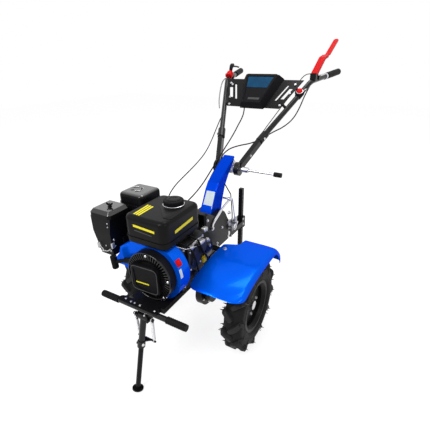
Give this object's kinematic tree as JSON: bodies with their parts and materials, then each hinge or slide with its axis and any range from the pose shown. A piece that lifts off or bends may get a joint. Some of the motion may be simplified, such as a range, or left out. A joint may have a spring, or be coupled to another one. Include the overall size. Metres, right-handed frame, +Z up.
{
  "type": "garden tiller",
  "caption": "Walk-behind garden tiller on lugged transport wheels: front petrol engine, gearbox, blue mudguards and tower, folding parking stand, adjustable handlebars and depth bar.",
  "frame": {"origin": "on the floor, under the middle of the machine's length and width", "axes": "+Z up, -Y towards the engine and bumper, +Y towards the grips, +X to the machine's own left"},
  "size_m": [0.6472, 1.5428, 1.2765],
  "materials": {
    "tyre": "black rubber",
    "wheel_steel": "black paint",
    "blue_paint": "gloss blue paint",
    "black_paint": "satin black paint",
    "black_plastic": "grained black plastic",
    "tank_paint": "semi-gloss black paint",
    "engine_metal": "cast",
    "bright_steel": "bright zinc plate",
    "grip_rubber": "matt rubber",
    "red_plastic": "red coated",
    "yellow_plastic": "yellow moulding"
  },
  "bodies": {
    "chassis": {"air_cleaner": "black_plastic", "axle_shafts": "bright_steel", "blower_shroud": "blue_paint", "bumper_bar": "black_paint", "bumper_bracket": "black_paint", "bumper_ends": "grip_rubber", "cables_on_chassis": "black_plastic", "carburettor": "engine_metal", "clamp_lever": "bright_steel", "clamp_lever_grip": "grip_rubber", "clutch_housing": "black_paint", "cylinder_head": "engine_metal", "engine_block": "engine_metal", "exhaust_pipe": "engine_metal", "frame_rails": "black_paint", "fuel_cap": "black_plastic", "fuel_tank": "tank_paint", "gearbox_housing": "black_paint", "governor": "engine_metal", "handle_pivot": "bright_steel", "hitch_bracket": "black_paint", "lower_gear_case": "black_paint", "mudguard_brackets": "black_paint", "mudguard_left": "blue_paint", "mudguard_right": "blue_paint", "muffler": "black_paint", "oil_filler": "yellow_plastic", "recoil_cover": "black_plastic", "recoil_housing": "black_plastic", "shift_lever": "bright_steel", "shift_linkage": "bright_steel", "stand_pivot_pin": "black_paint", "starter_grip": "black_plastic", "tank_bracket": "engine_metal", "tower": "blue_paint"},
    "left_wheel": {"tyre_left": "tyre", "rim_left": "wheel_steel", "hub_left": "wheel_steel"},
    "right_wheel": {"tyre_right": "tyre", "rim_right": "wheel_steel", "hub_right": "wheel_steel"},
    "stand": {"stand_sleeve": "black_paint", "stand_foot": "black_paint", "stand_springs": "bright_steel"},
    "handlebars": {"handlebar_arm_left": "black_paint", "handlebar_arm_right": "black_paint", "handlebar_tube_left": "black_paint", "handlebar_tube_right": "black_paint", "grip_left": "grip_rubber", "grip_right": "grip_rubber", "console_bracket": "black_paint", "console_box": "black_plastic", "clutch_lever": "red_plastic", "clutch_lever_clamp": "bright_steel", "cables_on_handlebars": "black_plastic", "throttle_knob": "red_plastic", "right_controls": "black_plastic"},
    "depth_bar_slide": {"depth_bar": "black_paint"}
  },
  "joints": [
    {"name": "left_wheel_spin", "type": "hinge", "parent": "chassis", "child": "left_wheel", "pos_m": [0.267, -0.288, 0.2], "axis": [1, 0, 0], "continuous": true},
    {"name": "right_wheel_spin", "type": "hinge", "parent": "chassis", "child": "right_wheel", "pos_m": [-0.267, -0.288, 0.2], "axis": [1, 0, 0], "continuous": true},
    {"name": "stand_fold", "type": "hinge", "parent": "chassis", "child": "stand", "pos_m": [0, -0.667, 0.309], "axis": [1, 0, 0], "range_deg": [0, 100]},
    {"name": "handlebar_height", "type": "hinge", "parent": "chassis", "child": "handlebars", "pos_m": [0, 0.012, 0.706], "axis": [1, 0, 0], "range_deg": [-15, 15]},
    {"name": "depth_bar_height", "type": "slide", "parent": "chassis", "child": "depth_bar_slide", "axis": [0, 0, 1], "range_m": [-0.1, 0.12]}
  ]
}
